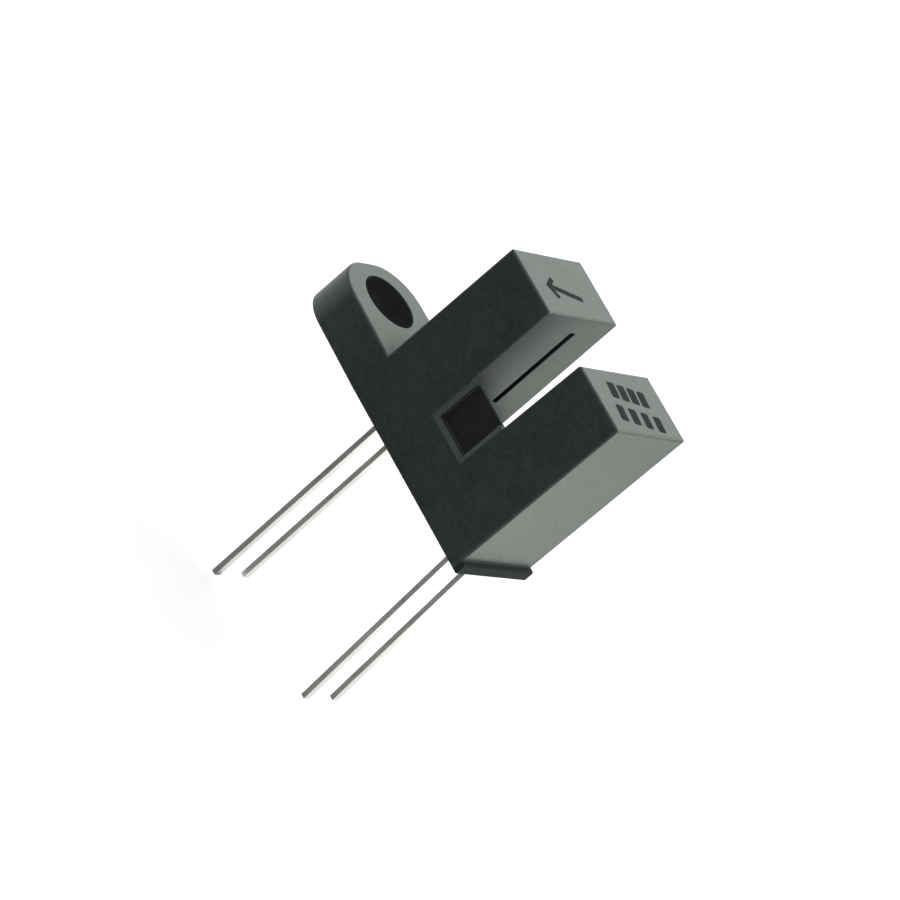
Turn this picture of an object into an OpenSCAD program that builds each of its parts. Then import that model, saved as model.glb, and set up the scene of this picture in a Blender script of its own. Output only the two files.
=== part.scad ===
// Slotted optical switch with one screw ear and four long leads, in millimetres.
// The origin is the middle of the board face, +Z runs up the arms, +X away from the ear to the
// far end, and the front face, which has the web across the slot, looks along -Y.

/* [Housing] */
// Width of each arm across the slot direction
arm_width = 4.05; // [3.7:0.05:5]
// Width of the slot at the arm tips
slot_width = 3.3; // [2.6:0.05:4.2]
// How much each slot wall leans in from tip to floor
slot_draft = 0.1; // [0.02:0.02:0.2]
// Depth of the body from front face to back face
body_depth = 6.35; // [5.6:0.05:8]
// Height of the arm tips over the board face
body_height = 11.7; // [10.5:0.1:14]
// Height of the slot floor over the board face
base_height = 3.2; // [2.8:0.1:3.8]
// Wall between each optics cavity and the outer end of its arm
outer_wall = 0.75; // [0.5:0.05:1]
// Wall between each optics cavity and the back of the body
back_wall = 0.6; // [0.4:0.05:1]
// Radius of the moulded outside edges
edge_radius = 0.12; // [0.1:0.02:0.3]
// How far the low foot stands out from the far end of the body
end_foot_reach = 0.3; // [0.2:0.05:0.6]
// Height of the low foot over the board face
end_foot_height = 0.65; // [0.4:0.05:1.2]

/* [Slot web] */
// Height of the web over the slot floor
web_height = 3; // [1.5:0.1:4]
// Thickness of the web behind its pocket
web_thickness = 0.5; // [0.3:0.05:1]
// Depth of the pocket in the web, from the front face
web_setback = 0.35; // [0.3:0.05:1]
// Width of the border that frames the pocket
border_width = 0.3; // [0.15:0.05:0.5]
// How far the border slopes in from the front face
border_slope = 0.12; // [0.05:0.01:0.25]
// Width of the flat land along the top edge of the web
web_land = 0.1; // [0.05:0.05:0.25]

/* [Ear] */
// Thickness of the ear
ear_thickness = 2.65; // [2:0.05:3.2]
// Distance from the end of the body to the middle of the screw hole
hole_reach = 3.825; // [3.2:0.025:6]
// Diameter of the screw hole, a free fit for a 3 mm screw
hole_diameter = 3.4; // [2.6:0.1:3.8]
// Width of the rim between the screw hole and the end of the ear
ear_rim = 0.85; // [0.6:0.05:1.6]
// Width that the ear narrows to towards its end
ear_end_width = 5.9; // [5.2:0.05:6.3]
// Radius of the round corners at the end of the ear
ear_corner = 2.5; // [1:0.05:2.55]

/* [Apertures] */
// Width of the light slit in each slot wall
slit_width = 0.46; // [0.2:0.02:1]
// Length of the light slit up the slot wall
slit_length = 5.8; // [1.5:0.1:6]
// Drop from the arm tips to the optical axis
optical_drop = 4.05; // [3.9:0.05:4.6]

/* [Optics] */
// Thickness of the cast epoxy body without its lens
package_thickness = 1.5; // [1.3:0.05:1.7]
// Width of the cast epoxy body, front to back
package_width = 4; // [3.6:0.05:4.4]
// Height of the cast epoxy body
package_height = 5.6; // [4.6:0.1:6]
// Radius of the lens where it meets the epoxy body
lens_radius = 1.2; // [1:0.05:1.6]
// Height of the lens over the epoxy body
lens_height = 0.75; // [0.5:0.05:0.9]
// Free space left round the epoxy body in its cavity
seat_clearance = 0.1; // [0.05:0.01:0.15]
// Side of the square light chip
chip_size = 0.42; // [0.3:0.02:0.6]
// Thickness of the light chip
chip_height = 0.22; // [0.15:0.01:0.3]
// Thickness of the bond wire
wire_diameter = 0.06; // [0.04:0.01:0.1]

/* [Leads] */
// Thickness of the stamped lead, along the light beam
lead_thickness = 0.3; // [0.2:0.02:0.5]
// Width of the stamped lead, front to back
lead_width = 0.45; // [0.3:0.05:0.6]
// Spacing of the two leads of one arm
lead_pitch = 2.54; // [2.3:0.02:2.8]
// Length of the two leads at the ear end, below the board face
emitter_lead_length = 13.6; // [6:0.1:16]
// Length of the two leads at the far end, below the board face
sensor_lead_length = 12.4; // [6:0.1:16]
// Lean of the leads at the ear end away from the slot, in degrees
emitter_lead_splay = -1.3; // [-6:0.1:6]
// Lean of the leads at the far end away from the slot, in degrees
sensor_lead_splay = 3.9; // [-6:0.1:6]
// Depth below the board face at which the leads start to lean
bend_drop = 0.6; // [0.4:0.1:2]

/* [Potting] */
// Depth of the epoxy fill that closes each cavity
potting_depth = 2.2; // [1:0.1:2.6]
// How far the fill stays below the board face
potting_recess = 0.15; // [0.05:0.05:0.4]

/* [Hidden] */

// Spare length by which a cutting shape runs past the surface it cuts
over = 0.5;
// Straight pieces in each rounded edge, and in each round corner of the ear
edge_steps = 5;
ear_steps = 24;
// Steps in the rounded top edge of the ear
ear_edge_steps = 3;
round_fn = 96;
wire_fn = 32;

body_length = 2 * arm_width + slot_width;
floor_width = slot_width - 2 * slot_draft;
web_top = base_height + web_height;
optical_height = body_height - optical_drop;

hole_x = -(body_length / 2 + hole_reach);
ear_end = hole_x - hole_diameter / 2 - ear_rim;
// The ear and the foot start inside the body, so that they fill the round of its upright edges
ear_root = -body_length / 2 + 2 * edge_radius;
foot_root = body_length / 2 - 2 * edge_radius;
foot_end = body_length / 2 + end_foot_reach;

// Places along X in an arm, from the slot out to the end of the body
cavity_out = body_length / 2 - outer_wall;
package_out = cavity_out - seat_clearance;
package_in = package_out - package_thickness;
lens_tip = package_in - lens_height;
cavity_in = lens_tip - seat_clearance;
lead_x = (package_out + package_in) / 2;
lead_face = lead_x - lead_thickness / 2;
chip_face = lead_face - chip_height;

package_top = optical_height + package_height / 2;
package_foot = optical_height - package_height / 2;
cavity_top = package_top + seat_clearance;
cavity_depth = package_width + 2 * seat_clearance;
// The optics stand a little behind the middle of the body
optics_y = body_depth / 2 - back_wall - cavity_depth / 2;
lens_sphere = (lens_radius * lens_radius + lens_height * lens_height) / (2 * lens_height);
// Depth to which the lens runs on inside the epoxy body
lens_bed = 0.3;

// The die pad carries the chip on the optical axis, and the wire pad stands beside it
pad_margin = 0.22;
pad_gap = 0.25;
die_pad_half = chip_size / 2 + pad_margin;
wire_pad_near = die_pad_half + pad_gap;
wire_pad_half = 0.3;
foot_margin = 0.12;
wire_foot = wire_pad_near + foot_margin + wire_diameter / 2;

function unit(v) = v / norm(v);
function polar(angle) = [cos(angle), sin(angle)];
function bearing(v) = atan2(v[1], v[0]);
// The smaller turn from angle a to angle b, between -180 and 180 degrees
function turn(a, b) = (b - a + 540) % 360 - 180;

// Points of the arc that rounds the corner p between the points before and after it
function corner_arc(before, p, after, radius, steps) =
    let (
        u = unit(before - p),
        w = unit(after - p),
        half_angle = acos(u * w) / 2,
        centre = p + radius / sin(half_angle) * unit(u + w),
        start = bearing(p + radius / tan(half_angle) * u - centre),
        stop = bearing(p + radius / tan(half_angle) * w - centre)
    )
    [for (i = [0 : steps]) centre + radius * polar(start + turn(start, stop) * i / steps)];

// An outline with each corner rounded by its own radius, or sharp where that is 0
function rounded(points, radii, steps = edge_steps) =
    let (n = len(points))
    [for (i = [0 : n - 1])
        each radii[i] > 0
            ? corner_arc(points[(i + n - 1) % n], points[i], points[(i + 1) % n], radii[i], steps)
            : [points[i]]
    ];

// Extrudes an XZ outline along Y, centred on the middle plane
module along_y(length) {
    rotate([90, 0, 0])
        linear_extrude(height = length, center = true)
            children();
}

// Extrudes a YZ outline along +X
module along_x(length) {
    rotate([90, 0, 90])
        linear_extrude(height = length)
            children();
}

// Optics are drawn about their own middle plane, and each arm sets them in place
module in_sensor_arm() {
    translate([0, optics_y, 0])
        children();
}

// The emitter arm is the mirror image of the sensor arm
module in_emitter_arm() {
    mirror([1, 0, 0])
        in_sensor_arm()
            children();
}

module in_both_arms() {
    in_sensor_arm()
        children();
    in_emitter_arm()
        children();
}

// Front outline: the U of the body with the slot's draft
module front_outline() {
    r = edge_radius;
    polygon(rounded(
        [
            [-body_length / 2, 0],
            [body_length / 2, 0],
            [body_length / 2, body_height],
            [slot_width / 2, body_height],
            [floor_width / 2, base_height],
            [-floor_width / 2, base_height],
            [-slot_width / 2, body_height],
            [-body_length / 2, body_height]
        ],
        [0, 0, r, r, r, r, r, r]
    ));
}

// End outline: rounds the front and back edges of the arm tips
module end_outline() {
    r = edge_radius;
    polygon(rounded(
        [
            [-body_depth / 2, 0],
            [body_depth / 2, 0],
            [body_depth / 2, body_height],
            [-body_depth / 2, body_height]
        ],
        [0, 0, r, r]
    ));
}

// Plan outline: rounds the four upright edges of the body
module plan_outline() {
    r = edge_radius;
    polygon(rounded(
        [
            [-body_length / 2, -body_depth / 2],
            [body_length / 2, -body_depth / 2],
            [body_length / 2, body_depth / 2],
            [-body_length / 2, body_depth / 2]
        ],
        [r, r, r, r]
    ));
}

module body_block() {
    intersection() {
        along_y(body_depth)
            front_outline();
        translate([-body_length / 2, 0, 0])
            along_x(body_length)
                end_outline();
        linear_extrude(height = body_height)
            plan_outline();
    }
}

// Plan of the ear, drawn in from its edge by an inset: a taper from the body to a round end
module ear_plan(inset) {
    root_half = body_depth / 2 - inset;
    end_half = ear_end_width / 2 - inset;
    end_x = ear_end + inset;
    corner = ear_corner - inset;
    polygon(rounded(
        [
            [ear_root, -root_half],
            [ear_root, root_half],
            [-body_length / 2, root_half],
            [end_x, end_half],
            [end_x, -end_half],
            [-body_length / 2, -root_half]
        ],
        [0, 0, 0, corner, corner, 0],
        ear_steps
    ));
}

// The ear is a stack of plans whose insets follow the round of its top edge
module ear() {
    hull()
        for (angle = [0 : 90 / ear_edge_steps : 90])
            linear_extrude(height = ear_thickness - edge_radius * (1 - sin(angle)))
                ear_plan(edge_radius * (1 - cos(angle)));
}

// Low foot along the end of the body that has no ear, with its upper edge rounded
module end_foot() {
    r = min(edge_radius, end_foot_reach / 2);
    along_y(body_depth)
        polygon(rounded(
            [
                [foot_root, 0],
                [foot_end, 0],
                [foot_end, end_foot_height],
                [foot_root, end_foot_height]
            ],
            [0, 0, r, 0]
        ));
}

// The web closes the lower part of the slot, level with the front face.
// Behind the pocket it tapers to a narrow land along its top edge
module web() {
    front = -body_depth / 2;
    pocket_face = front + web_setback;
    back = pocket_face + web_thickness;
    translate([-slot_width / 2, 0, 0])
        along_x(slot_width)
            polygon([
                [front, base_height - edge_radius],
                [back, base_height - edge_radius],
                [back, web_top - web_thickness + web_land],
                [pocket_face + web_land, web_top],
                [front, web_top]
            ]);
}

// Sloped border of the pocket, with mitred lower corners
module pocket_border() {
    front = -body_depth / 2;
    outer = floor_width / 2;
    inner = outer - border_width;
    lean = border_width / border_slope;
    intersection() {
        translate([-body_length / 2, 0, 0])
            along_x(body_length)
                polygon([
                    [front - over, base_height - over * lean],
                    [front + border_slope, base_height + border_width],
                    [front + border_slope, web_top + over],
                    [front - over, web_top + over]
                ]);
        linear_extrude(height = body_height)
            polygon([
                [-outer - over * lean, front - over],
                [outer + over * lean, front - over],
                [inner, front + border_slope],
                [-inner, front + border_slope]
            ]);
    }
}

// Pocket in the front of the web, open at the top
module web_pocket() {
    inner = floor_width / 2 - border_width;
    pocket_border();
    translate([-inner, -body_depth / 2 - over, base_height + border_width])
        cube([2 * inner, web_setback + over, web_height - border_width + over]);
}

module cavity() {
    translate([cavity_in, -cavity_depth / 2, -over])
        cube([cavity_out - cavity_in, cavity_depth, cavity_top + over]);
}

// The slit runs from inside the slot into the cavity
module light_slit() {
    translate([floor_width / 2 - over, -slit_width / 2, optical_height - slit_length / 2])
        cube([cavity_in - floor_width / 2 + 2 * over, slit_width, slit_length]);
}

module screw_hole() {
    translate([hole_x, 0, -over])
        cylinder(d = hole_diameter, h = ear_thickness + 2 * over, $fn = round_fn);
}

// Strip of a lead in its own XZ plane: straight through the base, then leaning
module lead_strip(top, length, splay) {
    half = lead_thickness / 2;
    mitre = half * tan(splay / 2);
    along = [sin(splay), -cos(splay)];
    across = [cos(splay), sin(splay)];
    tip = [0, -bend_drop] + (length - bend_drop) * along;
    translate([lead_x, 0, 0])
        along_y(lead_width)
            polygon([
                [-half, top],
                [half, top],
                [half, mitre - bend_drop],
                tip + half * across,
                tip - half * across,
                [-half, -mitre - bend_drop]
            ]);
}

// Flat pad of a lead inside the epoxy, between two places along Y
module lead_pad(from_y, to_y, half_height) {
    translate([lead_face, from_y, optical_height - half_height])
        cube([lead_thickness, to_y - from_y, 2 * half_height]);
}

module die_lead(length, splay) {
    translate([0, -lead_pitch / 2, 0])
        lead_strip(optical_height, length, splay);
    lead_pad(-(lead_pitch + lead_width) / 2, die_pad_half, die_pad_half);
}

module wire_lead(length, splay) {
    translate([0, lead_pitch / 2, 0])
        lead_strip(optical_height, length, splay);
    lead_pad(wire_pad_near, (lead_pitch + lead_width) / 2, wire_pad_half);
}

module chip() {
    translate([chip_face, -chip_size / 2, optical_height - chip_size / 2])
        cube([chip_height, chip_size, chip_size]);
}

// A half loop from the top of the chip, with a straight foot down to the wire pad
module bond_wire() {
    loop = wire_foot / 2;
    translate([chip_face, loop, optical_height])
        rotate([0, 0, 90])
            rotate_extrude(angle = 180, $fn = wire_fn)
                translate([loop, 0])
                    circle(d = wire_diameter, $fn = wire_fn);
    translate([chip_face, wire_foot, optical_height])
        rotate([0, 90, 0])
            cylinder(d = wire_diameter, h = chip_height, $fn = wire_fn);
}

// Cast epoxy body with its lens towards the slot, solid round the leads, chip and wire
module package(length, splay) {
    difference() {
        union() {
            translate([package_in, -package_width / 2, package_foot])
                cube([package_thickness, package_width, package_height]);
            lens();
        }
        die_lead(length, splay);
        wire_lead(length, splay);
        chip();
        bond_wire();
    }
}

// Cap of a sphere that stands on the inner face of the epoxy body
module lens() {
    intersection() {
        translate([lens_tip + lens_sphere, 0, optical_height])
            sphere(r = lens_sphere, $fn = round_fn);
        translate([lens_tip - over, -lens_sphere, optical_height - lens_sphere])
            cube([over + lens_height + lens_bed, 2 * lens_sphere, 2 * lens_sphere]);
    }
}

// Epoxy fill that closes the cavity round the two leads
module potting(length, splay) {
    difference() {
        translate([cavity_in, -cavity_depth / 2, potting_recess])
            cube([cavity_out - cavity_in, cavity_depth, potting_depth]);
        die_lead(length, splay);
        wire_lead(length, splay);
    }
}

module housing() {
    color([0.16, 0.17, 0.17])
        difference() {
            union() {
                body_block();
                ear();
                end_foot();
                web();
            }
            web_pocket();
            in_both_arms()
                cavity();
            in_both_arms()
                light_slit();
            screw_hole();
        }
}

module emitter_package() {
    color([0.72, 0.80, 0.90])
        in_emitter_arm()
            package(emitter_lead_length, emitter_lead_splay);
}

module emitter_die_lead() {
    color([0.70, 0.70, 0.68])
        in_emitter_arm()
            die_lead(emitter_lead_length, emitter_lead_splay);
}

module emitter_wire_lead() {
    color([0.70, 0.70, 0.68])
        in_emitter_arm()
            wire_lead(emitter_lead_length, emitter_lead_splay);
}

module emitter_chip() {
    color([0.35, 0.30, 0.36])
        in_emitter_arm()
            chip();
}

module emitter_bond_wire() {
    color([0.85, 0.65, 0.25])
        in_emitter_arm()
            bond_wire();
}

module emitter_potting() {
    color([0.10, 0.10, 0.10])
        in_emitter_arm()
            potting(emitter_lead_length, emitter_lead_splay);
}

module sensor_package() {
    color([0.16, 0.10, 0.18])
        in_sensor_arm()
            package(sensor_lead_length, sensor_lead_splay);
}

module sensor_die_lead() {
    color([0.70, 0.70, 0.68])
        in_sensor_arm()
            die_lead(sensor_lead_length, sensor_lead_splay);
}

module sensor_wire_lead() {
    color([0.70, 0.70, 0.68])
        in_sensor_arm()
            wire_lead(sensor_lead_length, sensor_lead_splay);
}

module sensor_chip() {
    color([0.28, 0.30, 0.36])
        in_sensor_arm()
            chip();
}

module sensor_bond_wire() {
    color([0.85, 0.65, 0.25])
        in_sensor_arm()
            bond_wire();
}

module sensor_potting() {
    color([0.10, 0.10, 0.10])
        in_sensor_arm()
            potting(sensor_lead_length, sensor_lead_splay);
}

housing();
emitter_package();
emitter_die_lead();
emitter_wire_lead();
emitter_chip();
emitter_bond_wire();
emitter_potting();
sensor_package();
sensor_die_lead();
sensor_wire_lead();
sensor_chip();
sensor_bond_wire();
sensor_potting();
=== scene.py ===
# %% [markdown]
# # Dressing a slotted optical switch
# The switch is a U of black moulded plastic. A beam of infrared light crosses the slot between
# its two arms, and a card or a wheel that passes through the slot breaks the beam. An ear at one
# end takes a screw, and four thin stamped leads go down to the board. Those solids exist already,
# at their real size. This lesson gives them a camera, light and finishes, and adds the small ink
# and resin details that a solid model leaves out.

# %% [markdown]
# ## The solids
# Every length is in metres, in the frame of the solids: the origin is in the middle of the board
# face, +Z runs up the arms, +X points away from the ear, and the front looks along -Y. The sizes
# could be typed in again by hand, but then a changed solid would leave the picture behind, so
# places are read from the boxes of the solids wherever that is possible.

# %% Load the solids
import math

import bmesh
import bpy
from mathutils import Matrix, Quaternion, Vector


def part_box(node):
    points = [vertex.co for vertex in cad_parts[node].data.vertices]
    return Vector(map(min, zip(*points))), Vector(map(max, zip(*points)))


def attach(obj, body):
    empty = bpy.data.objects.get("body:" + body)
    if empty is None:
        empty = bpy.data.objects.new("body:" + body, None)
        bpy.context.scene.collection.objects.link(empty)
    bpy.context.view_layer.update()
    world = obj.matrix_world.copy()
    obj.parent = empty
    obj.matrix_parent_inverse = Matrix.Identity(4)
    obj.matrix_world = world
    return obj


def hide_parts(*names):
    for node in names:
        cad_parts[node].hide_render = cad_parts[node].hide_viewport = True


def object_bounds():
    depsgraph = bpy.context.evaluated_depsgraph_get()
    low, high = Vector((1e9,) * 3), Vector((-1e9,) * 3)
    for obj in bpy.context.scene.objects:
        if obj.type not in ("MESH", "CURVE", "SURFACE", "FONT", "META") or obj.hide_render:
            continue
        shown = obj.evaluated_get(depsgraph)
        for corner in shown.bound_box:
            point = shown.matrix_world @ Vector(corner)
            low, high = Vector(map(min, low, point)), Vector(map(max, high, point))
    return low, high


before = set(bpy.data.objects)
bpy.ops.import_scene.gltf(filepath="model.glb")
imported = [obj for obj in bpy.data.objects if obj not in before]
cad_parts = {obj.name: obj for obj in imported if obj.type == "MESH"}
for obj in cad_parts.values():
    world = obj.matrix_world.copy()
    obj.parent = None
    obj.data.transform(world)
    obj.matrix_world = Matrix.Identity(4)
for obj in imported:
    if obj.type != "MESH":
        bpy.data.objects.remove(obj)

MM = 0.001
cad_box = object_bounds()
scene = bpy.context.scene
scene.view_settings.view_transform = "Standard"
print("solids:", len(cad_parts), "lowest", cad_box[0], "highest", cad_box[1])

# %% [markdown]
# ## The camera
# The switch is seen from its front right and from above, and the picture is rolled so that the
# arms point to the upper right and the leads to the lower left. A camera can be aimed with a
# tracking constraint, but a roll is easier to read as an angle: the camera is first set upright
# on its line of sight, then turned about that line, then aimed a little beside the origin so
# that the whole part sits in the frame. The long lens keeps the edges of the arms almost parallel.

# %% Camera
view_azimuth = math.radians(24.56)
view_elevation = math.radians(24.96)
view_roll = math.radians(49.95)
view_distance = 251 * MM
aim_right = 0.66 * MM
aim_up = 1.59 * MM
lens_mm = 196.4
clip_ratio = 100

to_camera = Vector((
    math.sin(view_azimuth) * math.cos(view_elevation),
    -math.cos(view_azimuth) * math.cos(view_elevation),
    math.sin(view_elevation),
))
rolled = to_camera.to_track_quat("Z", "Y") @ Quaternion((0, 0, 1), view_roll)
eye = to_camera * view_distance
aim = rolled @ Vector((aim_right, aim_up, 0))
sight = (eye - aim).normalized()
right = (rolled @ Vector((0, 1, 0))).cross(sight).normalized()
axes = Matrix((right, sight.cross(right), sight)).transposed()

camera_data = bpy.data.cameras.new("camera")
camera_data.lens = lens_mm
camera_data.clip_start = view_distance / clip_ratio
camera_data.clip_end = view_distance * clip_ratio
camera = bpy.data.objects.new("camera", camera_data)
camera.matrix_world = Matrix.Translation(eye) @ axes.to_4x4()
scene.collection.objects.link(camera)
scene.camera = camera
print("camera at", eye, "looking along", -sight)

# %% [markdown]
# ## Small helpers for node trees
# A finish is a little network of nodes. Blender lets each node and link be made one call at a
# time, which hides the idea in a long list of calls. One helper that makes a node, sets it and
# wires it in the same line keeps every recipe below short enough to read.


# %% Node helpers
def add_node(tree, kind, inputs=None, **settings):
    """Makes a node. An input is a plain value, or another node's output, which is then linked."""
    made = tree.nodes.new(kind)
    for name, value in settings.items():
        setattr(made, name, value)
    for name, value in (inputs or {}).items():
        if isinstance(value, bpy.types.NodeSocket):
            tree.links.new(value, made.inputs[name])
        else:
            made.inputs[name].default_value = value
    return made


def maths(tree, operation, *values):
    """One Math node, given back as its output."""
    inputs = dict(enumerate(values))
    return add_node(tree, "ShaderNodeMath", inputs, operation=operation).outputs[0]


def seen_level(tree, scattered, mirrored, direct):
    """One level for scattered light, one in reflections and clear bodies, one for the camera."""
    path = add_node(tree, "ShaderNodeLightPath").outputs
    bent = maths(tree, "MAXIMUM", path["Is Glossy Ray"], path["Is Transmission Ray"])
    level = maths(tree, "MULTIPLY_ADD", bent, mirrored - scattered, scattered)
    return maths(tree, "MULTIPLY_ADD", path["Is Camera Ray"], direct - scattered, level)


print("node helpers ready")

# %% [markdown]
# ## The floor
# The part is seen on plain white, as on a light table, with the ends of its leads just clear of
# it. A built-in plane would do for the floor, but the reflections below need cards of other
# outlines too, so one helper makes a level sheet from any outline.

# %% Floor
floor_half = 3.0
floor_gap = 0.5 * MM
floor_level = cad_box[0].z - floor_gap


def rectangle(left, near, right, far):
    """The corners of a level rectangle, in order round it."""
    return [(left, near), (right, near), (right, far), (left, far)]


def flat_sheet(name, corners, level):
    """A level sheet made from an outline, at a given level."""
    mesh = bpy.data.meshes.new(name)
    mesh.from_pydata([(x, y, level) for x, y in corners], [], [range(len(corners))])
    sheet = bpy.data.objects.new(name, mesh)
    scene.collection.objects.link(sheet)
    return sheet


floor = flat_sheet("floor", rectangle(-floor_half, -floor_half, floor_half, floor_half), floor_level)
print("floor at", floor_level)

# %% [markdown]
# A white floor could be lit until it clips, but then the part would be overlit too. So the floor
# is ordinary pale paper that also glows a little for whatever looks straight at it: it comes out
# white, and still keeps a soft shadow. From below the paper is clear, so that the underside can be
# looked at without moving anything.

# %% Paper finish
floor_colour = (0.80, 0.80, 0.80, 1)
floor_glow = 0.51
mirror_glow = 0.30

paper = bpy.data.materials.new("paper")
paper.use_nodes = True
tree = paper.node_tree
tree.nodes.remove(tree.nodes["Principled BSDF"])
matt = add_node(tree, "ShaderNodeBsdfDiffuse", {"Color": floor_colour})
level = seen_level(tree, scattered=0, mirrored=mirror_glow, direct=floor_glow)
glow = add_node(tree, "ShaderNodeEmission", {"Strength": level})
both = add_node(tree, "ShaderNodeAddShader", {0: matt.outputs[0], 1: glow.outputs[0]})
below = add_node(tree, "ShaderNodeNewGeometry").outputs["Backfacing"]
clear = add_node(tree, "ShaderNodeBsdfTransparent")
sided = add_node(tree, "ShaderNodeMixShader", {0: below, 1: both.outputs[0], 2: clear.outputs[0]})
tree.links.new(sided.outputs[0], tree.nodes["Material Output"].inputs["Surface"])
floor.data.materials.append(paper)
print("finish:", paper.name)

# %% [markdown]
# ## The lamps
# The tips of the arms and the far side are pale grey and the front is almost black, though all
# of it is the same plastic. The light comes from behind and above, and the pale faces mirror it
# at a low angle. A big soft box behind does that for the level faces. The far side mirrors the
# table behind the part, so a lit panel lies there. The round edges between the two mirror what is
# in between, so a small box stands there. A lamp at the camera would flatten all of it.

# %% Lamps
lamp_colour = (0.93, 1.0, 0.92)
panel_gap = 0.5 * MM


def soft_box(name, place, width, height, power):
    """A rectangular lamp at a place, turned to the origin."""
    data = bpy.data.lights.new(name, "AREA")
    data.shape = "RECTANGLE"
    data.size = width
    data.size_y = height
    data.energy = power
    data.color = lamp_colour
    lamp = bpy.data.objects.new(name, data)
    lamp.location = place
    lamp.rotation_euler = (-Vector(place)).to_track_quat("-Z", "Y").to_euler()
    scene.collection.objects.link(lamp)
    return lamp


soft_box("box_behind", place=(-0.12, 0.34, 0.20), width=0.46, height=0.36, power=0.60)
soft_box("box_above", place=(0.04, 0.10, 0.42), width=0.36, height=0.30, power=0.80)
soft_box("box_edge", place=(0.17, 0.34, 0.155), width=0.25, height=0.20, power=0.40)
panel_place = (0.053, 0.0375, floor_level + panel_gap)
panel = soft_box("panel_behind", place=panel_place, width=0.060, height=0.064, power=0.0190)
panel.rotation_euler = (math.pi, 0, -view_azimuth)
panel.visible_camera = False

# %% [markdown]
# ## The dark cards
# A dark face shows what it mirrors. The front mirrors the table in front of the part, so a dark
# card lies there that only reflections can see, and a grey one lies right under the leads. The
# front comes out dark and the leads grey, while the sloped border round the web and the round end
# of the ear still catch the white table past the ends of the cards. Black paint would darken all.

# %% Cards
card_gap = 0.05 * MM
card_level = floor_level + card_gap


def felt_card(name, corners, shade):
    """A card on the floor that is seen in reflections only, and throws no shadow."""
    card = flat_sheet(name, corners, card_level)
    card.visible_camera = False
    card.visible_shadow = False
    card.visible_diffuse = False
    felt = bpy.data.materials.new(name)
    felt.use_nodes = True
    inputs = felt.node_tree.nodes["Principled BSDF"].inputs
    inputs["Base Color"].default_value = (shade, shade, shade, 1)
    inputs["Roughness"].default_value = 1.0
    card.data.materials.append(felt)


def fan(near, far, left, right):
    """The corners of a fan that opens from the origin to the front, between two angles."""
    ends = ((near, left), (far, left), (far, right), (near, right))
    return [(reach * math.sin(angle), -reach * math.cos(angle)) for reach, angle in ends]


fan_left, fan_right = math.radians(-50), math.radians(-1)
felt_card("card_front", fan(near=17 * MM, far=400 * MM, left=fan_left, right=fan_right), shade=0.04)
felt_card("card_leads", rectangle(left=-16 * MM, near=-16 * MM, right=7 * MM, far=0.5 * MM), shade=0.25)

# %% [markdown]
# ## The surroundings
# The room is white wherever the camera or a reflection sees it, and dimmer as a source of light,
# so that the lamps still shape the part. A picture of a studio could stand here, but it would
# leave its windows in every polished face.

# %% World
ambient = 0.32
white = 1.0

world = bpy.data.worlds.new("studio")
world.use_nodes = True
scene.world = world
tree = world.node_tree
level = seen_level(tree, scattered=ambient, mirrored=white, direct=white)
tree.links.new(level, tree.nodes["Background"].inputs["Strength"])
tree.nodes["Background"].inputs["Color"].default_value = (white, white, white, 1)
print("world:", world.name)

# %% [markdown]
# ## Texture helpers
# A photograph of each surface could be mapped on, but it needs unwrapping and blurs in close
# views. Noise that is placed in the part's own coordinates needs neither. These helpers start a
# finish and give it a place and a noise of a given size.


# %% Texture helpers
def new_finish(name):
    """An empty finish: its material, its node tree and its shader."""
    made = bpy.data.materials.new(name)
    made.use_nodes = True
    return made, made.node_tree, made.node_tree.nodes["Principled BSDF"]


def object_place(tree, stretch=(1, 1, 1)):
    """Coordinates on the part, shrunk along an axis to stretch a pattern along it."""
    place = add_node(tree, "ShaderNodeTexCoord").outputs["Object"]
    scaled = add_node(tree, "ShaderNodeVectorMath", {0: place, 1: stretch}, operation="MULTIPLY")
    return scaled.outputs[0]


def noise(tree, place, size, detail=2.0):
    """Soft random values with features of about that size."""
    inputs = {"Vector": place, "Scale": 1 / size, "Detail": detail}
    return add_node(tree, "ShaderNodeTexNoise", inputs).outputs["Fac"]


print("texture helpers ready")

# %% [markdown]
# Noise alone is a grey fog around one half. To become a finish it is stretched to a range, used
# to mix two colours, or raised as a relief. Each of these is one node, and each could be set up
# again for every finish, but a named step is easier to follow.

# %% Mixing helpers
edge_samples = 6


def spread(tree, value, low=0.0, high=1.0, from_low=0.3, from_high=0.7):
    """A value stretched from one range to another, and kept inside it."""
    inputs = {"Value": value, "From Min": from_low, "From Max": from_high}
    inputs.update({"To Min": low, "To Max": high})
    return add_node(tree, "ShaderNodeMapRange", inputs).outputs[0]


def blend(tree, share, first, second):
    """A colour between two colours. The numbers are the colour sockets of the Mix node."""
    inputs = {0: share, 6: first, 7: second}
    return add_node(tree, "ShaderNodeMix", inputs, data_type="RGBA").outputs[2]


def rounded_edges(tree, radius):
    """The normals of the surface as if its edges were rounded."""
    return add_node(tree, "ShaderNodeBevel", {"Radius": radius}, samples=edge_samples).outputs[0]


def bumps(tree, height, strength, depth, normal=None):
    """The normals of a relief, laid over other normals where those are given."""
    inputs = {"Height": height, "Strength": strength, "Distance": depth}
    if normal is not None:
        inputs["Normal"] = normal
    return add_node(tree, "ShaderNodeBump", inputs).outputs[0]


def wire(tree, shader, **outputs):
    """Links outputs to the shader's inputs, each named with _ for a blank."""
    for name, output in outputs.items():
        tree.links.new(output, shader.inputs[name.replace("_", " ")])


print("mixing helpers ready")
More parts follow.
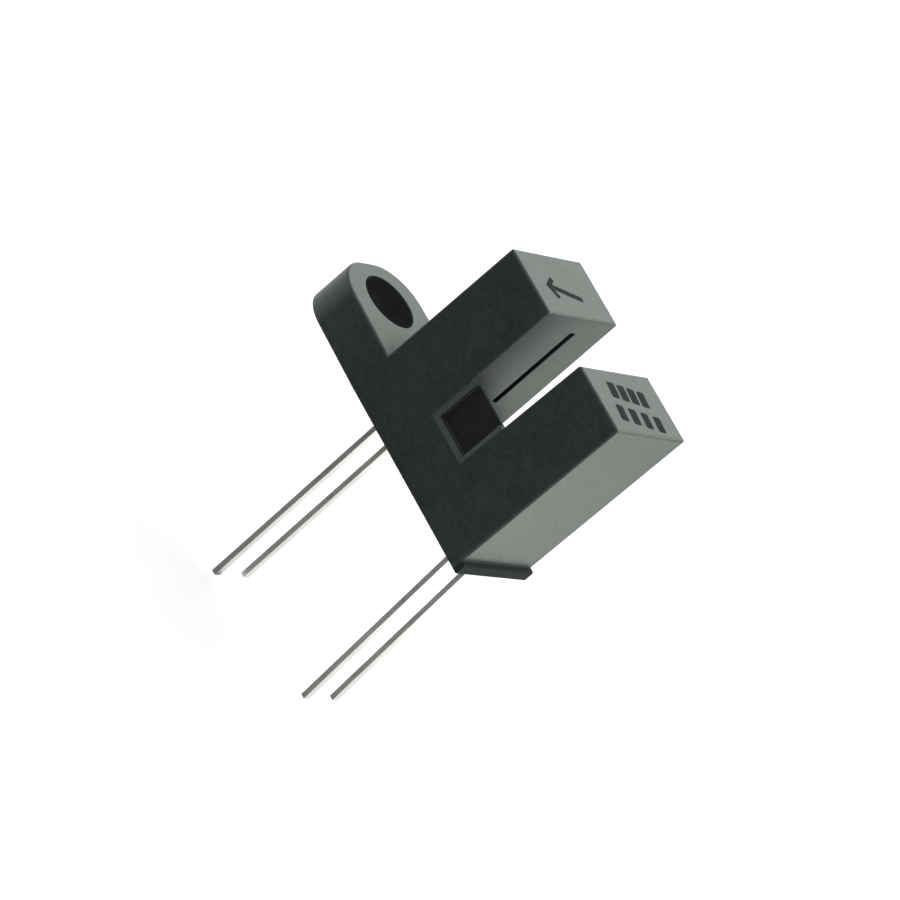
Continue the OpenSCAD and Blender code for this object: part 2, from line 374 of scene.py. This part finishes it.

# %% [markdown]
# ## Places on the housing
# A web closes the root of the slot at the front. The floor of its pocket lies deeper than the front
# and is painted near black as painted shade, and the low foot at the far end is painted near black
# and is rough as it left the tool. They could be split off as meshes of their own, but it is one
# moulding, so a box of coordinates, set out from the box of the housing, picks each of them out.

# %% Places on the housing
housing_low, housing_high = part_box("housing")
pocket_middle = (0, housing_low.y + 0.355 * MM, 4.85 * MM)
pocket_half = (1.26 * MM, 0.05 * MM, 1.40 * MM)
foot_middle = (housing_high.x - 0.14 * MM, 0, 0.32 * MM)
foot_half = (0.155 * MM, 3.3 * MM, 0.34 * MM)


def inside_box(tree, place, middle, half):
    """1 inside a box of coordinates and 0 outside it."""
    parts = add_node(tree, "ShaderNodeSeparateXYZ", {0: place}).outputs
    hits = [maths(tree, "COMPARE", parts[i], middle[i], half[i]) for i in range(3)]
    return maths(tree, "MULTIPLY", maths(tree, "MULTIPLY", hits[0], hits[1]), hits[2])


print("pocket at", pocket_middle, "foot at", foot_middle)

# %% [markdown]
# ## Masks for the plastic
# A mask is a value from 0 to 1 that says where something happens. Edges polish lighter where the
# part is handled: the Bevel node rounds them for the light, and where its normal leaves the true
# one there is an edge. Inner corners, as at the root of the ear, get painted shade and a rougher
# surface: the Ambient Occlusion node finds them. Both could be painted by hand, but a computed mask
# follows the solid when it changes.

# %% Housing masks
edge_width = 0.12 * MM
edge_wear = 0.6
edge_range = (0.90, 0.995)
corner_reach = 3 * MM
corner_range = (0.5, 0.97)
corner_samples = 8

plastic, tree, shader = new_finish("moulded_plastic")
place = object_place(tree)
rounded = rounded_edges(tree, edge_width)
true_normal = add_node(tree, "ShaderNodeNewGeometry").outputs["Normal"]
facing = add_node(tree, "ShaderNodeVectorMath", {0: rounded, 1: true_normal}, operation="DOT_PRODUCT")
edge = spread(tree, facing.outputs["Value"], edge_wear, 0.0, *edge_range)
foot = inside_box(tree, place, foot_middle, foot_half)
# Painted shade: the floor of the web's pocket is painted near black, and the foot is painted near black
# too.
pocket_shade_and_foot = maths(tree, "MAXIMUM", foot, inside_box(tree, place, pocket_middle, pocket_half))
# Painted shade: the Ambient Occlusion node finds inner corners, which are darkened and made rougher.
open_share = add_node(tree, "ShaderNodeAmbientOcclusion", {"Distance": corner_reach},
                      samples=corner_samples, only_local=True)
tucked = spread(tree, open_share.outputs["AO"], 1.0, 0.0, *corner_range)
corner = maths(tree, "MULTIPLY", tucked, maths(tree, "SUBTRACT", 1.0, pocket_shade_and_foot))
print("masks: edge, foot, black and corner")

# %% [markdown]
# ## The colour of the plastic
# The housing is glass-filled plastic. It is charcoal with fine flecks of fibre and slow clouds, and
# the masks lay the rubbed edges, painted shade in the pocket and the inner corners, and the near-black
# foot over that. One flat colour would do from far away, but close up it looks like paint.

# %% Housing colour
mottle_size = 2.2 * MM
mottle_share = 0.4
fleck_size = 0.28 * MM
fleck_share = 0.6
corner_shade_share = 0.5
deep_tone = (0.019, 0.0235, 0.022, 1)
pale_tone = (0.041, 0.0475, 0.045, 1)
rubbed_tone = (0.085, 0.094, 0.090, 1)
shade_and_foot_tone = (0.006, 0.0075, 0.007, 1)

mottle = spread(tree, noise(tree, place, mottle_size, detail=4.0), high=mottle_share)
flecks = spread(tree, noise(tree, place, fleck_size, detail=3.0), high=fleck_share)
tone = blend(tree, maths(tree, "ADD", mottle, flecks), deep_tone, pale_tone)
tone = blend(tree, edge, tone, rubbed_tone)
# Painted shade in the web's pocket, and the foot painted near black.
tone = blend(tree, pocket_shade_and_foot, tone, shade_and_foot_tone)
# Painted shade: inner corners are darkened towards near black.
tone = blend(tree, maths(tree, "MULTIPLY", corner, corner_shade_share), tone, shade_and_foot_tone)
wire(tree, shader, Base_Color=tone)
print("tones from", deep_tone, "to", pale_tone)

# %% [markdown]
# ## The surface of the plastic
# The tool is spark eroded, which leaves a grain of about a tenth of a millimetre and a satin sheen
# at low angles, a little green. The grain could be real geometry, but at this size a relief in the
# finish looks the same and costs nothing.

# %% Housing surface
grain_size = 0.13 * MM
grain_strength = 0.6
grain_depth = 0.016 * MM
satin_range = (0.33, 0.43)
corner_roughness = 0.22
foot_roughness = 0.95
sheen_tint = (0.89, 1.0, 0.90, 1)

grain = noise(tree, place, grain_size, detail=3.0)
satin = maths(tree, "MULTIPLY_ADD", corner, corner_roughness, spread(tree, grain, *satin_range))
rough = maths(tree, "MAXIMUM", satin, maths(tree, "MULTIPLY", foot, foot_roughness))
relief = bumps(tree, grain, grain_strength, grain_depth, rounded)
wire(tree, shader, Roughness=rough, Normal=relief)
shader.inputs["Specular Tint"].default_value = sheen_tint
print("finish:", plastic.name)

# %% [markdown]
# ## The tinned leads
# The leads are stamped from copper strip and tin plated. Tin is a metal, so its colour is in the
# reflection and not under it. Stamping rolls the edges over a little, which the Bevel node does
# here. Rolling leaves faint streaks along the strip, which are noise stretched along Z, and handling
# dulls some places more than others. A plain grey metal would look like a polished rod.

# %% Lead finish
tin_bright = (0.82, 0.82, 0.80, 1)
tin_dull = (0.72, 0.72, 0.70, 1)
tin_roughness = (0.26, 0.40)
lead_edge = 0.04 * MM
streak_width = 0.05 * MM
streak_stretch = (1, 1, 0.04)
streak_strength = 0.2
streak_depth = 0.002 * MM
stain_size = 1.4 * MM

tin, tree, shader = new_finish("tinned_strip")
streaks = noise(tree, object_place(tree, streak_stretch), streak_width)
stains = spread(tree, noise(tree, object_place(tree), stain_size, detail=3.0))
relief = bumps(tree, streaks, streak_strength, streak_depth, rounded_edges(tree, lead_edge))
wire(tree, shader, Base_Color=blend(tree, stains, tin_bright, tin_dull),
     Roughness=spread(tree, streaks, *tin_roughness), Normal=relief)
shader.inputs["Metallic"].default_value = 1.0
print("finish:", tin.name)

# %% [markdown]
# ## The cast epoxies
# The emitter is cast in water-clear epoxy. The sensor is cast in epoxy dyed so deep that it looks
# black to the eye and passes only infrared. Both let light through, so they bend it by their
# refractive index, and the dye is simply a dark colour of the transmitted light. A see-through
# shader without bending would be quicker, but it would look like thin film.

# %% Epoxy finishes
epoxy_index = 1.54
epoxy_roughness = (0.04, 0.10)
swirl_size = 0.9 * MM


def cast_epoxy(name, colour, deeper):
    """A clear casting with slow swirls between two colours."""
    made, tree, shader = new_finish(name)
    swirl = noise(tree, object_place(tree), swirl_size, detail=3.0)
    wire(tree, shader, Base_Color=blend(tree, spread(tree, swirl), colour, deeper),
         Roughness=spread(tree, swirl, *epoxy_roughness))
    shader.inputs["IOR"].default_value = epoxy_index
    shader.inputs["Transmission Weight"].default_value = 1.0
    return made


clear_epoxy = cast_epoxy("clear_epoxy", colour=(0.90, 0.94, 0.97, 1), deeper=(0.82, 0.88, 0.94, 1))
dark_epoxy = cast_epoxy("dark_epoxy", colour=(0.050, 0.030, 0.045, 1), deeper=(0.030, 0.018, 0.030, 1))
print("finishes:", clear_epoxy.name, dark_epoxy.name)

# %% [markdown]
# ## Chips and bond wires
# A chip is a small block sawn from a crystal, and its saw marks are noise stretched along X. The
# bond wire is drawn gold. They sit deep inside the arms and could stay plain grey, but a library part
# may be cut open, so they get finishes as well.

# %% Chip and gold finishes
crystal_dark = (0.10, 0.11, 0.14, 1)
crystal_pale = (0.16, 0.16, 0.19, 1)
crystal_roughness = (0.22, 0.45)
crystal_metal = 0.6
saw_stretch = (0.2, 1, 1)
saw_size = 0.02 * MM
gold_bright = (1.0, 0.72, 0.30, 1)
gold_deep = (0.86, 0.58, 0.22, 1)
gold_roughness = (0.16, 0.28)
draw_size = 0.03 * MM

crystal, tree, shader = new_finish("sawn_crystal")
saw_marks = noise(tree, object_place(tree, saw_stretch), saw_size)
wire(tree, shader, Base_Color=blend(tree, spread(tree, saw_marks), crystal_dark, crystal_pale),
     Roughness=spread(tree, saw_marks, *crystal_roughness))
shader.inputs["Metallic"].default_value = crystal_metal

gold, tree, shader = new_finish("drawn_gold")
draw_marks = noise(tree, object_place(tree), draw_size)
wire(tree, shader, Base_Color=blend(tree, spread(tree, draw_marks), gold_bright, gold_deep),
     Roughness=spread(tree, draw_marks, *gold_roughness))
shader.inputs["Metallic"].default_value = 1.0
print("finishes:", crystal.name, gold.name)

# %% [markdown]
# ## The potting resin
# Each arm is closed from below with black epoxy that is poured in and sets. It is smoother than
# the moulded plastic, with slow waves and a few dull places, so it shines where the plastic does
# not. The plastic's finish could be used again, but then the fill would vanish in the housing.

# %% Resin finish
resin_black = (0.010, 0.010, 0.011, 1)
resin_grey = (0.022, 0.022, 0.023, 1)
resin_roughness = (0.18, 0.38)
bloom_size = 0.5 * MM
wave_size = 0.8 * MM
wave_strength = 0.3
wave_depth = 0.03 * MM

resin, tree, shader = new_finish("potting_resin")
place = object_place(tree)
bloom = spread(tree, noise(tree, place, bloom_size, detail=4.0))
relief = bumps(tree, noise(tree, place, wave_size), wave_strength, wave_depth)
wire(tree, shader, Base_Color=blend(tree, bloom, resin_black, resin_grey),
     Roughness=spread(tree, bloom, *resin_roughness), Normal=relief)
print("finish:", resin.name)

# %% [markdown]
# ## Dress the solids
# A solid takes its finish through its material slot, and the slot is named after the stuff that
# the solid is made of. Each solid could be dressed by name, but one table from stuff to finish
# dresses all of them, and a solid that is added later is dressed as well.

# %% Dress
finishes = {
    "housing": plastic, "lead": tin, "clear_epoxy": clear_epoxy, "dark_epoxy": dark_epoxy,
    "chip": crystal, "gold_wire": gold, "potting": resin,
}
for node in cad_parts.values():
    stuff = node.material_slots[0].name
    node.data.materials[0] = finishes[stuff]
    print(node.name, "wears", finishes[stuff].name)

# %% [markdown]
# ## Resin that climbs its edges
# Liquid resin wets what it touches, so before it sets it climbs a tenth of a millimetre up the
# walls of the arm and up each lead, and leaves a hollow face between. The part is upside down while
# it is filled, so the resin climbs towards -Z. The solid fill is a plain block. A new piece stands
# in for it, with its lower face bent by a falling curve from every edge. A sculpted face would do
# for one part, and the curve fits any size of fill. First come the measures: where the leads pass
# through a fill, and how far a point is from them.

# %% Resin measures
wall_margin = 0.01 * MM


def lead_holes(fill):
    """The two rectangles where the leads pass through a fill: low x, low y, high x, high y."""
    low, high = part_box(fill)
    points = [v.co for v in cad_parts[fill].data.vertices
              if low.x + wall_margin < v.co.x < high.x - wall_margin
              and low.y + wall_margin < v.co.y < high.y - wall_margin]
    middle = sum(p.y for p in points) / len(points)
    rows = ([p for p in points if p.y < middle], [p for p in points if p.y > middle])
    return [(min(p.x for p in row), min(p.y for p in row),
             max(p.x for p in row), max(p.y for p in row)) for row in rows]


def outside(x, y, hole):
    """How far a point is from a rectangle, and 0 inside it."""
    return math.hypot(max(hole[0] - x, 0, x - hole[2]), max(hole[1] - y, 0, y - hole[3]))


print("leads in the emitter's fill:", lead_holes("emitter_potting"))

# %% [markdown]
# The face is a grid of points, each pulled down by the curve. A subdivided plane with a
# displacement would look alike, but the grid needs no modifier, and a rim and a lid can be sewn to
# its outer points.

# %% Resin face
climb = 0.11 * MM
climb_reach = 0.14 * MM
cell = 0.05 * MM


def wetted_face(made, fill):
    """The lower face of a fill as rows of points, lowest at the walls and the leads."""
    low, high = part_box(fill)
    holes = lead_holes(fill)
    across = round((high.x - low.x) / cell)
    along = round((high.y - low.y) / cell)
    grid = []
    for i in range(across + 1):
        x = low.x + (high.x - low.x) * i / across
        line = []
        for j in range(along + 1):
            y = low.y + (high.y - low.y) * j / along
            gaps = [x - low.x, high.x - x, y - low.y, high.y - y]
            gaps += [outside(x, y, hole) for hole in holes]
            drop = climb * math.exp(-min(gaps) / climb_reach)
            line.append(made.verts.new((x, y, low.z - drop)))
        grid.append(line)
    for i in range(across):
        for j in range(along):
            corners = (grid[i][j], grid[i][j + 1], grid[i + 1][j + 1], grid[i + 1][j])
            made.faces.new(corners).smooth = True
    return grid


print("the resin climbs", climb, "and fades over", climb_reach)

# %% [markdown]
# A mesh in the making is not yet a piece. It still needs faces that look outwards, a finish, a
# place in the scene and a body to move with. That is the same for resin and ink, so one helper
# does it. The resin piece then closes its face with a plain rim and lid, as one closed body.


# %% Resin pieces
def add_piece(name, made, finish):
    """Turns a finished bmesh into a piece that rides on the part."""
    mesh = bpy.data.meshes.new(name)
    bmesh.ops.recalc_face_normals(made, faces=made.faces)
    made.to_mesh(mesh)
    made.free()
    mesh.materials.append(finish)
    piece = bpy.data.objects.new(name, mesh)
    scene.collection.objects.link(piece)
    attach(piece, "root")
    return piece


def resin_piece(name, fill):
    """The wetted face of a fill, closed by a rim and a lid, in place of the plain fill."""
    made = bmesh.new()
    grid = wetted_face(made, fill)
    rim = grid[0][:-1] + [line[-1] for line in grid[:-1]]
    rim += grid[-1][:0:-1] + [line[0] for line in grid[:0:-1]]
    lid_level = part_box(fill)[1].z
    lid = [made.verts.new((v.co.x, v.co.y, lid_level)) for v in rim]
    for k in range(len(rim)):
        made.faces.new((rim[k - 1], rim[k], lid[k], lid[k - 1]))
    made.faces.new(lid)
    piece = add_piece(name, made, resin)
    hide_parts(fill)
    print(name, "faces:", len(piece.data.polygons))


resin_piece("emitter_resin", "emitter_potting")
resin_piece("sensor_resin", "sensor_potting")

# %% [markdown]
# ## The ink on the tips
# The tips carry stamped ink: an arrow on one arm and two rows of plain blocks on the other. A
# picture on the face would do, but ink has a thickness and an edge of its own, so each mark is a
# thin raised shape. Its finish is flat and a little worn.

# %% Ink finish
ink_dark = (0.009, 0.012, 0.010, 1)
ink_worn = (0.026, 0.032, 0.028, 1)
ink_roughness = (0.62, 0.85)
ink_sheen = 0.08
wear_size = 0.12 * MM

ink, tree, shader = new_finish("stamped_ink")
wear = spread(tree, noise(tree, object_place(tree), wear_size, detail=3.0))
wire(tree, shader, Base_Color=blend(tree, wear, ink_dark, ink_worn),
     Roughness=spread(tree, wear, *ink_roughness))
shader.inputs["Specular IOR Level"].default_value = ink_sheen
print("finish:", ink.name)

# %% [markdown]
# A pad print rounds the corners of a block a little, because the ink draws together before it
# dries. The outlines could be drawn by hand point by point, but two small rules give them all: a
# turned block with round corners, and an arrow whose barbs are folded back from its point.

# %% Ink outlines
corner_steps = 4


def block(x, y, width, height, turn, corner):
    """The outline of a turned rectangle with round corners."""
    outline = []
    for quarter in range(4):
        sign_x = (1, -1, -1, 1)[quarter]
        sign_y = (1, 1, -1, -1)[quarter]
        for step in range(corner_steps + 1):
            angle = math.pi / 2 * (quarter + step / corner_steps)
            u = sign_x * (width / 2 - corner) + corner * math.cos(angle)
            v = sign_y * (height / 2 - corner) + corner * math.sin(angle)
            outline.append((x + u * math.cos(turn) - v * math.sin(turn),
                            y + u * math.sin(turn) + v * math.cos(turn)))
    return outline


def arrow(tail, point, stroke, barb, spread_angle):
    """The outline of an arrow with an open head."""
    start = Vector(tail)
    end = Vector(point)
    ahead = (end - start).normalized()
    side = Vector((-ahead.y, ahead.x))
    half = stroke / 2
    back = -ahead * math.cos(spread_angle) + side * math.sin(spread_angle)
    inward = -ahead * math.sin(spread_angle) - side * math.cos(spread_angle)
    outer = end + back * barb
    inner = outer + inward * stroke
    reach = (half - (inner - end).dot(side)) / back.dot(side)
    root = inner + back * reach
    left = [start + side * half, root, inner, outer]
    mirrored = [p - side * 2 * (p - start).dot(side) for p in reversed(left)]
    return [tuple(p) for p in left + [end] + mirrored]


print("points in a block:", len(block(0, 0, MM, MM, 0, MM / 10)))

# %% [markdown]
# Each outline is raised from the tip by a hundredth of a millimetre, about what a pad prints. A
# solidified plane would need a modifier for every mark, so the two faces and the wall between them
# are made directly.

# %% Stamp
ink_depth = 0.012 * MM
tip_level = housing_high.z


def stamp(name, outlines):
    """Raises outlines from the tip of an arm by the thickness of the ink."""
    made = bmesh.new()
    for outline in outlines:
        lower = [made.verts.new((x, y, tip_level)) for x, y in outline]
        upper = [made.verts.new((x, y, tip_level + ink_depth)) for x, y in outline]
        made.faces.new(lower)
        made.faces.new(upper)
        for k in range(len(outline)):
            made.faces.new((lower[k - 1], lower[k], upper[k], upper[k - 1]))
    return add_piece(name, made, ink)


print("ink lies on", tip_level)

# %% [markdown]
# The marks lean a little on the tips, as a stamp does that is not quite square to the part. Each
# row of blocks runs from its first to its last place along Y, and the lean shifts it along X. The
# blocks could be copies of one object, but as one mesh they are one piece of ink.

# %% Ink marks
mark_tilt = math.radians(-8)
block_rows = ((3.13 * MM, -1.25 * MM, 1.25 * MM), (4.62 * MM, -1.65 * MM, 1.45 * MM))
blocks_in_row = 4
block_width = 0.98 * MM
block_height = 0.60 * MM
block_corner = 0.1 * MM

outline = arrow(tail=(-2.94 * MM, 0.98 * MM), point=(-3.59 * MM, -1.82 * MM), stroke=0.30 * MM,
                barb=0.95 * MM, spread_angle=math.radians(50))
arrow_mark = stamp("ink_arrow", [outline])
blocks = []
for row_x, first_y, last_y in block_rows:
    for k in range(blocks_in_row):
        y = first_y + (last_y - first_y) * k / (blocks_in_row - 1)
        x = row_x - (y - (first_y + last_y) / 2) * math.tan(mark_tilt)
        blocks.append(block(x, y, block_width, block_height, mark_tilt, block_corner))
block_mark = stamp("ink_blocks", blocks)
print("ink:", arrow_mark.name, block_mark.name)
